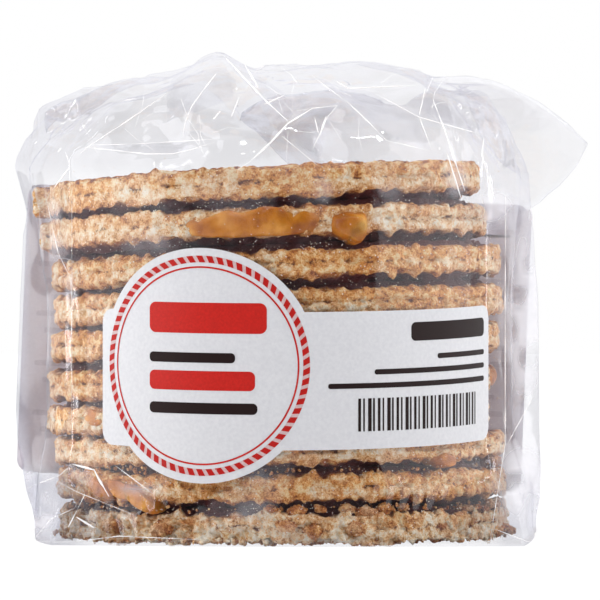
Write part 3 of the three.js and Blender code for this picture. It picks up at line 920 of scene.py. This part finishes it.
def besideLabels(co):  # 0 under the front label, 1 well away from it
    if co.y > 0:
        inside = abs(co.x) < 50 * mm and 6 * mm < co.z < 66 * mm
        return 0.25 if inside else 1
    arc = math.atan2(co.x, -co.y) * film["frontRadius"]
    up = co.z / mm - label["endRise"] * (arc / label["right"]) ** 2
    outside = max(label["left"] - arc, arc - label["right"], label["bottom"] - up, up - label["top"])
    fromDisc = math.hypot(arc - label["discAcross"], up - label["discHeight"]) - label["discRadius"]
    return ease(min(outside, fromDisc), 1.5, 6)


def crumpling(co):  # 1 in the gathered top and a little in the bottom corners
    amount = max(ease(co.z / mm, 60, 72), 0.15 * (1 - ease(co.z / mm, 6, 16)), 0.1)
    return amount * (0.3 if co.y > 26 * mm else 1)


def looseness(co):  # 1 where the film stands free of the waffles
    side = math.degrees(math.atan2(co.x, -co.y))
    held = 1 - ease(abs(side - film["heldMiddle"]), *film["heldTurns"])
    return 1 - (1 - ease(co.z / mm, *film["gathers"])) * ease(co.z / mm, *film["corners"]) * held


def freedom(co):  # 1 where neither the waffles, the labels nor the ground hold the film
    return looseness(co) * besideLabels(co) * ease(co.z, 0, film["foot"] * mm)


def pulled(sheet):
    for middle, radius, move in pulls:
        near = Vector(middle) * mm
        selectWhere(sheet, "verts", lambda v: (v.co - near).length < 0.35 * radius * mm)
        bpy.ops.transform.translate(value=Vector(move) * mm, use_proportional_edit=True,
                                    proportional_edit_falloff="SMOOTH", proportional_size=radius * mm)


def milkAndSheenAt(co):
    if co.y > 36 * mm:
        return 0
    at = onPlane(co) / mm
    patches = [amount * ease(1 - math.hypot((at.x - across) / wide, (at.z - up) / high), 0, 0.7)
               for across, up, wide, high, amount in milkAndSheenPatches]
    return max(patches) * ease(noise.noise(at / 3), -0.5, 0.3)


def shading(co):  # more layers of film lie together at the upper left, down the left and in the low corners, and the grey there is partly painted shade
    at = onPlane(co) / mm
    upper = 0.26 * ease(at.z, 61, 66) * (1 - ease(at.z, 73, 79)) * (1 - ease(at.x, -5, 20))
    lower = 0.85 * (1 - ease(at.z, 11, 15)) * (1 - ease(at.x, -37, -31))
    beside = 0.25 * (1 - ease(at.z, 60, 66)) * (1 - ease(at.x, -43, -40.5))
    right = 0.4 * (1 - ease(at.z, 12, 18)) * ease(at.x, 36, 39)
    return max(upper, lower, beside, right)


def makeFilm():
    sheet = nodeCopy("bag", "film_bag")
    bpy.ops.object.mode_set(mode="EDIT")
    bpy.ops.mesh.select_all(action="SELECT")
    bpy.ops.mesh.subdivide(number_cuts=1)
    pulled(sheet)
    for push, start, end in pleats:
        pleat(sheet, push, start, end)
    bpy.ops.mesh.select_all(action="SELECT")
    bpy.ops.mesh.quads_convert_to_tris()
    bpy.ops.mesh.subdivide(number_cuts=1)
    bpy.ops.mesh.quads_convert_to_tris()
    bpy.ops.object.mode_set(mode="OBJECT")
    weigh(sheet, "loose", freedom)
    weigh(sheet, "crumpled", lambda co: crumpling(co) * freedom(co))
    weigh(sheet, "tight", lambda co: (1 - looseness(co)) * besideLabels(co))
    for group, size, depth, strength, middle in (("loose", 19, 0, film["billow"], 0.45),
                                                 ("crumpled", 6, 1, film["crumple"], 0.45),
                                                 ("tight", 5, 1, film["ripple"], 0.2)):
        texture = smoothNoise(group, size, depth, hard=True)
        displace(sheet, texture, strength, mid_level=middle, vertex_group=group)
    paint(sheet, "milk", milkAndSheenAt)
    paint(sheet, "folded", shading)
    paint(sheet, "gathered", lambda co: ease(co.z / mm, *film["gathers"]))
    print("film shaped:", len(sheet.data.polygons), "faces")
    return smoothed(sheet)


def treeOf(obj):
    return BVHTree.FromPolygons([v.co for v in obj.data.vertices], [p.vertices for p in obj.data.polygons])


def onFilm(tree, place):  # the film's point that shows at a place on the front plane
    point = planePoint(place)
    middle = planePoint((0, 45))
    for _ in range(30):
        hit = tree.ray_cast(eye, (point - eye).normalized())
        if hit[0] is not None:
            return hit[0], hit[1]
        point += (middle - point).normalized() * 0.3 * mm
    return point, Vector((0, -1, 0))


def alongPlaces(places, step=0.8):
    points = [places[0]]
    for a, b in zip(places, places[1:]):
        count = max(int(math.dist(a, b) / step), 1)
        points += [(a[0] + (b[0] - a[0]) * i / count, a[1] + (b[1] - a[1]) * i / count)
                   for i in range(1, count + 1)]
    return points


# faint wrinkles between the creases of the top: how many are tried, where, lengths, how they turn, sizes
wrinkles = {"count": 45, "across": (-41, 40), "up": (68, 82), "length": (2.5, 8),
            "turns": (-48, 52, -75, 15), "spread": 16, "size": (0.2, 0.45)}


def wrinklePlaces():
    dice = random.Random(5)
    found = []
    for _ in range(wrinkles["count"]):
        across, up = dice.uniform(*wrinkles["across"]), dice.uniform(*wrinkles["up"])
        if up > wrinkles["up"][1] - 0.006 * across * across:  # past the top's outline
            continue
        turn = math.radians(dice.choice(wrinkles["turns"]) + dice.gauss(0, wrinkles["spread"]))
        length = dice.uniform(*wrinkles["length"])
        bend = dice.uniform(-0.12, 0.12) * length
        end = (across + length * math.cos(turn), up + length * math.sin(turn))
        middle = ((across + end[0]) / 2 - bend * math.sin(turn), (up + end[1]) / 2 + bend * math.cos(turn))
        found.append((dice.uniform(*wrinkles["size"]), [(across, up), middle, end]))
    return found


def makeCreases(tree):
    data = bpy.data.curves.new("creases", "CURVE")
    data.dimensions = "3D"
    data.bevel_depth = film["creaseRadius"] * mm
    data.bevel_resolution = 1
    for size, places in creases + wrinklePlaces():
        points = [onFilm(tree, place) for place in alongPlaces(places)]
        spline = data.splines.new("POLY")
        spline.points.add(len(points) - 1)
        for i, (co, normal) in enumerate(points):
            taper = math.sin(math.pi * (i + 0.5) / len(points)) ** 0.6 * (0.75 + noise.noise(co / (2.5 * mm)))
            spline.points[i].co = (*(co + normal * 0.03 * mm), 1)
            spline.points[i].radius = size * taper
    obj = bpy.data.objects.new("film_creases", data)
    scene.collection.objects.link(obj)
    active(obj)
    bpy.ops.object.convert(target="MESH")
    return smoothed(bpy.context.object)


def fromBorder(co, corners):
    places = [Vector((across, 0, up)) * mm for across, up in corners]
    return min(fromLine(co, a, b)[0] for a, b in zip(places, places[1:] + places[:1]))


def makeDoubled(tree):
    sheets = []
    for depth, shade, corners in doubled:
        bpy.ops.mesh.primitive_circle_add(vertices=len(corners), fill_type="NGON", radius=mm)
        sheet = bpy.context.object
        for vertex, (across, up) in zip(sheet.data.vertices, corners):
            vertex.co = (across * mm, 0, up * mm)
        for axis in ("x", "z"):
            slices(sheet, axis, film["foldStep"])
        soft = 3.0 if shade > 0.35 else 0.8  # width of the border where the fold opens out again
        paint(sheet, "folded", lambda co: shade * ease(fromBorder(co, corners) / mm, 0, soft))
        paint(sheet, "gathered", lambda co: ease(fromBorder(co, corners) / mm, 0, soft))
        for vertex in sheet.data.vertices:
            hit, _ = onFilm(tree, (vertex.co.x / mm, vertex.co.z / mm))
            vertex.co = hit + (hit - eye).normalized() * depth * mm
        sheets.append(sheet)
    whole = joined("film_doubled", sheets)
    displace(whole, smoothNoise("fold", 7, 0, hard=True), 0.5, mid_level=0.2)
    return smoothed(whole)


def filmMaterial():
    # Cast polypropylene film: clear and glossy; it greys what lies behind and mirrors the lamps at its folds.
    material, tree, place = newMaterial("cast polypropylene film")
    milk, folded, gathered = (addNode(tree, "Attribute", {"attribute_name": name}).outputs["Fac"]
                              for name in ("milk", "folded", "gathered"))
    crinkle = addNode(tree, "TexNoise",
                      {"noise_type": "RIDGED_MULTIFRACTAL", "size": 9, "Detail": 3, "Roughness": 0.4},
                      Vector=place)
    bump = addNode(tree, "Bump", {"Strength": 0.2, "Distance": 0.15 * mm}, Height=crinkle)
    fresnel = addNode(tree, "Fresnel", {"IOR": 1.49}, Normal=bump)
    mirror = addNode(tree, "MapRange", {"From Min": 0.03, "From Max": 0.6, "To Min": 0.052, "To Max": 0.45},
                     Value=fresnel)
    layers = addNode(tree, "Math", multiplyAdd | {1: 0.35, 2: 1.0}, _0=gathered)  # more lie together there
    inside = addNode(tree, "NewGeometry").outputs["Backfacing"]
    facing = addNode(tree, "MapRange", {"To Min": 1.0, "To Max": 0.2}, Value=inside)
    for share in (layers, facing):
        mirror = addNode(tree, "Math", {"operation": "MULTIPLY"}, _0=mirror, _1=share)
    # the grey tint stands for more layers of film and partly for painted shade
    tint = addNode(tree, "ValToRGB", {"stops": [(0.0, "#FBFBFC"), (1.0, "#DDDDE2")]}, Fac=folded)
    through = addNode(tree, "BsdfTransparent", None, Color=tint)
    gloss = addNode(tree, "BsdfGlossy", {"Color": "#FAFAFF", "Roughness": 0.09}, Normal=bump)
    clear = addNode(tree, "MixShader", None, _0=mirror, _1=through, _2=gloss)
    cloud = addNode(tree, "TexNoise", {"size": 14, "Detail": 2}, Vector=place)
    haze = addNode(tree, "MapRange", {"From Min": 0.45, "From Max": 0.7, "To Min": 0.0, "To Max": 0.012},
                   Value=cloud)
    # the milky patches, some of them painted sheen, whiten the film
    haze = addNode(tree, "Math", {"operation": "ADD", "use_clamp": True}, _0=haze, _1=milk)
    bloom = addNode(tree, "BsdfDiffuse", {"Color": "#EFEDF1"})
    whole = addNode(tree, "MixShader", None, _0=haze, _1=clear, _2=bloom)
    addNode(tree, "OutputMaterial", Surface=whole)
    return material


def glowingCreaseMaterial():
    # Film whitened where it was folded hard: part clear, part milky, with a gloss, and a faint glow that is a
    # painted highlight.
    material, tree, _ = newMaterial("stress whitened film")
    through = addNode(tree, "BsdfTransparent", {"Color": "#FFFFFF"})
    # its emission is a painted highlight: the creases glow, though they are no lamp
    white = addNode(tree, "BsdfPrincipled",
                    {"Base Color": "#FFFFFF", "Roughness": 0.12, "Specular IOR Level": 1.0,
                     "Emission Color": "#FFFFFF", "Emission Strength": 0.3})
    glow = addNode(tree, "BsdfTranslucent", {"Color": "#FFFFFF"})
    white = addNode(tree, "MixShader", {0: 0.25}, _1=white, _2=glow)
    whole = addNode(tree, "MixShader", {0: 0.7}, _1=through, _2=white)
    addNode(tree, "OutputMaterial", Surface=whole)
    return material


def slices(obj, axis, step):  # cuts a sheet into narrow strips, so that it can bend
    active(obj)
    low = min(getattr(v.co, axis) for v in obj.data.vertices)
    high = max(getattr(v.co, axis) for v in obj.data.vertices)
    normal = (1, 0, 0) if axis == "x" else (0, 0, 1)
    cuts = [Vector(normal) * (low + i * step * mm) for i in range(1, int((high - low) / (step * mm)) + 1)]
    edited(obj, *((bpy.ops.mesh.bisect, {"plane_co": cut, "plane_no": normal}) for cut in cuts))


filmSheet = makeFilm()
filmTree = treeOf(filmSheet)
polypropylene = filmMaterial()
filmSheet.data.materials.append(polypropylene)
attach(filmSheet, "root")
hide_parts("bag")
foldedFilm = makeDoubled(filmTree)
foldedFilm.data.materials.append(polypropylene)
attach(foldedFilm, "root")
creaseLines = makeCreases(filmTree)
creaseLines.data.materials.append(glowingCreaseMaterial())
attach(creaseLines, "root")
print("film made")


# the labels

def flatRectangle(left, bottom, right, top, corner=0):  # stands in the plane of the front
    bpy.ops.mesh.primitive_plane_add(size=1, rotation=(math.pi / 2, 0, 0),
                                     location=((left + right) / 2 * mm, 0, (bottom + top) / 2 * mm))
    sheet = bpy.context.object
    sheet.scale = ((right - left) * mm, (top - bottom) * mm, 1)
    applyPlace(sheet)
    if corner:
        edited(sheet, (bpy.ops.mesh.bevel, {"offset": corner * mm, "segments": 8, "affect": "VERTICES"}))
    return sheet


def flatDisc(across, height, radius):
    bpy.ops.mesh.primitive_circle_add(vertices=label["circle"], radius=radius * mm, fill_type="NGON",
                                      rotation=(math.pi / 2, 0, 0),
                                      location=(across * mm, 0, height * mm))
    disc = bpy.context.object
    applyPlace(disc)
    return disc


def wrapOn(obj, proud):  # bends a flat sheet round the front film and lays it that far off it
    slices(obj, "x", label["slice"])
    slices(obj, "z", label["row"])
    for vertex in obj.data.vertices:
        vertex.co.z += label["endRise"] * mm * (vertex.co.x / (label["right"] * mm)) ** 2
    low = min(v.co.x for v in obj.data.vertices)
    high = max(v.co.x for v in obj.data.vertices)
    radius = film["frontRadius"] * mm
    modify(obj, "SIMPLE_DEFORM", deform_method="BEND", deform_axis="Z", angle=(high - low) / radius)
    obj.data.transform(Matrix.Translation((0, -radius, 0)))
    modify(obj, "SHRINKWRAP", target=filmSheet, wrap_method="NEAREST_SURFACEPOINT", wrap_mode="ABOVE_SURFACE",
           offset=proud * mm)
    smoothed(obj)


def makeFrontLabel():
    strip = flatRectangle(label["left"], label["bottom"], label["right"], label["top"], label["corner"])
    disc = flatDisc(label["discAcross"], label["discHeight"], label["discRadius"])
    for sheet in (strip, disc):
        modify(sheet, "SOLIDIFY", thickness=2 * mm, offset=0)
    modify(strip, "BOOLEAN", object=disc, operation="UNION", solver="EXACT")
    bpy.data.objects.remove(disc)
    strip.name = "front_label_paper"
    active(strip)
    bpy.ops.object.mode_set(mode="EDIT")
    selectWhere(strip, "faces", lambda f: f.normal.y > -0.5)
    bpy.ops.mesh.delete(type="FACE")
    bpy.ops.object.mode_set(mode="OBJECT")
    strip.data.transform(Matrix.Translation((0, mm, 0)))
    wrapOn(strip, label["proud"])
    modify(strip, "SOLIDIFY", thickness=label["thickness"] * mm, offset=1)
    active(strip)
    bpy.ops.object.shade_smooth_by_angle(angle=math.radians(40))
    return strip


# flat printed shapes on the front: ink, left, bottom, right, top, corner
frontPrint = [
    ("red", -22.8, 36.0, -1.7, 41.2, 1.2),
    ("dark", -22.8, 31.0, -7.1, 32.7, 0.7),
    ("red", -22.8, 26.3, -3.7, 29.6, 1.0),
    ("dark", -22.8, 22.3, -3.3, 24.2, 0.8),
    ("dark", 24.2, 34.4, 43.4, 37.6, 0.9),
    ("dark", 30.0, 31.2, 43.4, 32.1, 0.4),
    ("dark", 17.0, 28.9, 43.4, 29.8, 0.4),
    ("dark", 8.7, 26.6, 43.4, 27.5, 0.4),
]
barRow = {"left": 14.0, "right": 41.0, "bottom": 19.3, "top": 24.9, "pitch": 0.9,
          "widths": (0.5, 0.3, 0.65, 0.35)}
twine = {"outer": 18.7, "inner": 17.55, "turns": 66, "share": 0.62, "slant": 0.35,
         "lineRadius": 16.75, "line": 0.3}


def flatRing(across, height, outer, inner, start=0.0, turn=2 * math.pi, slant=0.0):
    count = max(int(label["circle"] * turn / (2 * math.pi)), 2)
    bpy.ops.mesh.primitive_grid_add(x_subdivisions=count, y_subdivisions=1, size=2)
    ring = bpy.context.object
    for vertex in ring.data.vertices:
        out = vertex.co.y > 0
        angle = start + turn * (vertex.co.x + 1) / 2 + (slant if out else 0)
        radius = outer if out else inner
        vertex.co = Vector((across + radius * math.cos(angle), 0, height + radius * math.sin(angle))) * mm
    if turn == 2 * math.pi:  # a whole ring closes on itself
        edited(ring, (bpy.ops.mesh.remove_doubles, {"threshold": mergeWithin}))
    return ring


def makeFrontPrint():
    inks = {"red": [], "dark": [], "pink": []}
    for ink, left, bottom, right, top, corner in frontPrint:
        inks[ink].append(flatRectangle(left, bottom, right, top, corner))
    count = int((barRow["right"] - barRow["left"]) / barRow["pitch"])
    for i in range(count):
        left = barRow["left"] + i * barRow["pitch"]
        width = barRow["widths"][i % len(barRow["widths"])]
        inks["dark"].append(flatRectangle(left, barRow["bottom"], left + width, barRow["top"]))
    across, height = label["discAcross"], label["discHeight"]
    inks["pink"].append(flatRing(across, height, twine["outer"], twine["inner"]))
    inks["red"].append(flatRing(across, height, twine["lineRadius"] + twine["line"] / 2,
                                twine["lineRadius"] - twine["line"] / 2))
    step = 2 * math.pi / twine["turns"]
    blocks = [flatRing(across, height, twine["outer"], twine["inner"], i * step, step * twine["share"],
                       step * twine["slant"]) for i in range(twine["turns"])]
    pieces = []
    for ink, parts in (inks | {"twine": blocks}).items():
        piece = joined(f"front_print_{ink}", parts)
        off = label["ringProud"] if ink == "pink" else label["inkProud"]
        wrapOn(piece, label["proud"] + label["thickness"] + off)
        edited(piece, (bpy.ops.mesh.normals_make_consistent, {"inside": False}))
        pieces.append(piece)
    return pieces


backLabel = {"width": 94.5, "height": 54, "across": -0.9, "up": 35.5, "turn": -2.3, "corner": 2.5,
             "insideProud": 0.02, "outsideProud": 0.03, "barCorner": 0.3,
             "start": 70,  # it is laid on from this far back
             "depths": (34, 55),  # the back of the film lies between these
             "cornerDepth": 40}
# lines of plain print on the back label: how far down from its top, left end and right end, height
backPrint = [(5 + 3.1 * i, -44.8 + 1.6 * (i % 3), 45 - 5 * ((i * 7) % 4) / 3, 1.0) for i in range(14)]


def projectBack(obj, proud):
    modify(obj, "SHRINKWRAP", target=filmSheet, wrap_method="PROJECT", use_project_y=True,
           use_negative_direction=True, use_positive_direction=False, wrap_mode="ABOVE_SURFACE",
           offset=proud * mm)
    nearest, farthest = backLabel["depths"]
    for vertex in obj.data.vertices:
        if not nearest * mm <= vertex.co.y <= farthest * mm:  # past the corner, where the film bends away
            near = Vector((vertex.co.x * 0.98, backLabel["cornerDepth"] * mm, vertex.co.z))
            vertex.co.y = filmTree.find_nearest(near)[0].y + proud * mm
    smoothed(obj)


def atBack(obj):  # turns a sheet that was drawn in the front plane to the back of the bag
    place = Vector((backLabel["across"], backLabel["start"], backLabel["up"])) * mm
    obj.data.transform(Matrix.Translation(place) @ Matrix.Rotation(-math.radians(backLabel["turn"]), 4, "Y"))
    for axis in ("x", "z"):
        slices(obj, axis, label["row"])


def makeBackLabel():
    width, height = backLabel["width"], backLabel["height"]
    sheet = flatRectangle(-width / 2, -height / 2, width / 2, height / 2, backLabel["corner"])
    sheet.name = "back_label_paper"
    atBack(sheet)
    projectBack(sheet, label["proud"])
    modify(sheet, "SOLIDIFY", thickness=label["thickness"] * mm, offset=-1)
    bars = [flatRectangle(left, height / 2 - down - thick, right, height / 2 - down, backLabel["barCorner"])
            for down, left, right, thick in backPrint]
    outside = joined("back_print", bars)
    active(outside)
    bpy.ops.object.duplicate()
    inside = bpy.context.object
    inside.name = "back_print_inside"
    over = label["proud"] + label["thickness"] + backLabel["outsideProud"]
    for piece, proud in ((outside, over), (inside, backLabel["insideProud"])):
        atBack(piece)
        projectBack(piece, proud)
    return sheet, outside, inside


def paperLabelMaterial():
    # Coated white label paper: smooth and semi-gloss, with a faint fibre mottle; grey-lilac glue side.
    material, tree, place = newMaterial("coated label paper")
    # the mottle is drawn coarser than real fibre, so that it shows
    fibre = addNode(tree, "TexNoise", {"size": 0.6, "Detail": 4}, Vector=place)
    face = addNode(tree, "ValToRGB", {"stops": [(0.3, "#DADADD"), (0.7, "#E3E3E5")]}, Fac=fibre)
    glue = addNode(tree, "ValToRGB", {"stops": [(0.3, "#DAD3DE"), (0.7, "#E4DFE8")]}, Fac=fibre)
    side = addNode(tree, "Attribute", {"attribute_name": "glueSide"}).outputs["Fac"]
    tint = addNode(tree, "Mix", colourMix, _0=side, _6=face, _7=glue).outputs[2]
    bump = addNode(tree, "Bump", {"Strength": 0.08, "Distance": 0.05 * mm}, Height=fibre)
    shader = addNode(tree, "BsdfPrincipled", {"Roughness": 0.35, "Specular IOR Level": 0.45}, Base_Color=tint,
                     Normal=bump)
    addNode(tree, "OutputMaterial", Surface=shader)
    return material


def inkMaterial(name, code):
    # Flexographic ink on label paper: an even, slightly glossy film of colour with the paper's mottle in it.
    material, tree, place = newMaterial(name)
    fibre = addNode(tree, "TexNoise", {"size": 0.4, "Detail": 3}, Vector=place)
    value = addNode(tree, "MapRange", {"From Min": 0.3, "From Max": 0.7, "To Min": 0.88, "To Max": 1.06},
                    Value=fibre)
    tint = addNode(tree, "HueSaturation", {"Color": code}, Value=value)
    shader = addNode(tree, "BsdfPrincipled", {"Roughness": 0.35, "Specular IOR Level": 0.2}, Base_Color=tint)
    addNode(tree, "OutputMaterial", Surface=shader)
    return material


paper = paperLabelMaterial()
frontPaper = makeFrontLabel()
paint(frontPaper, "glueSide", lambda co: 0)
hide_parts("front_label")
backPaper, backBars, backShow = makeBackLabel()
normals = [v.normal.copy() for v in backPaper.data.vertices]
glue = backPaper.data.attributes.new("glueSide", "FLOAT", "POINT")
glue.data.foreach_set("value", [1.0 if n.y < 0 else 0.0 for n in normals])
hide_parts("back_label")
for sheet in (frontPaper, backPaper):
    sheet.data.materials.append(paper)
inks = {key: inkMaterial(name, code) for key, name, code in (
    ("red", "red flexo ink", "#CA241C"), ("dark", "dark brown flexo ink", "#22100F"),
    ("pink", "pale pink flexo ink", "#D9BCBC"), ("twine", "red twine ink", "#BE1C16"),
    ("show", "grey print showing through", "#D0C8D4"), ("back", "grey flexo ink", "#55504F"))}
frontInk = makeFrontPrint()
for piece in frontInk:
    piece.data.materials.append(inks[piece.name.split("_")[-1]])
backBars.data.materials.append(inks["back"])
backShow.data.materials.append(inks["show"])
for piece in [frontPaper, backPaper, backBars, backShow] + frontInk:
    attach(piece, "root")
print("labels made")
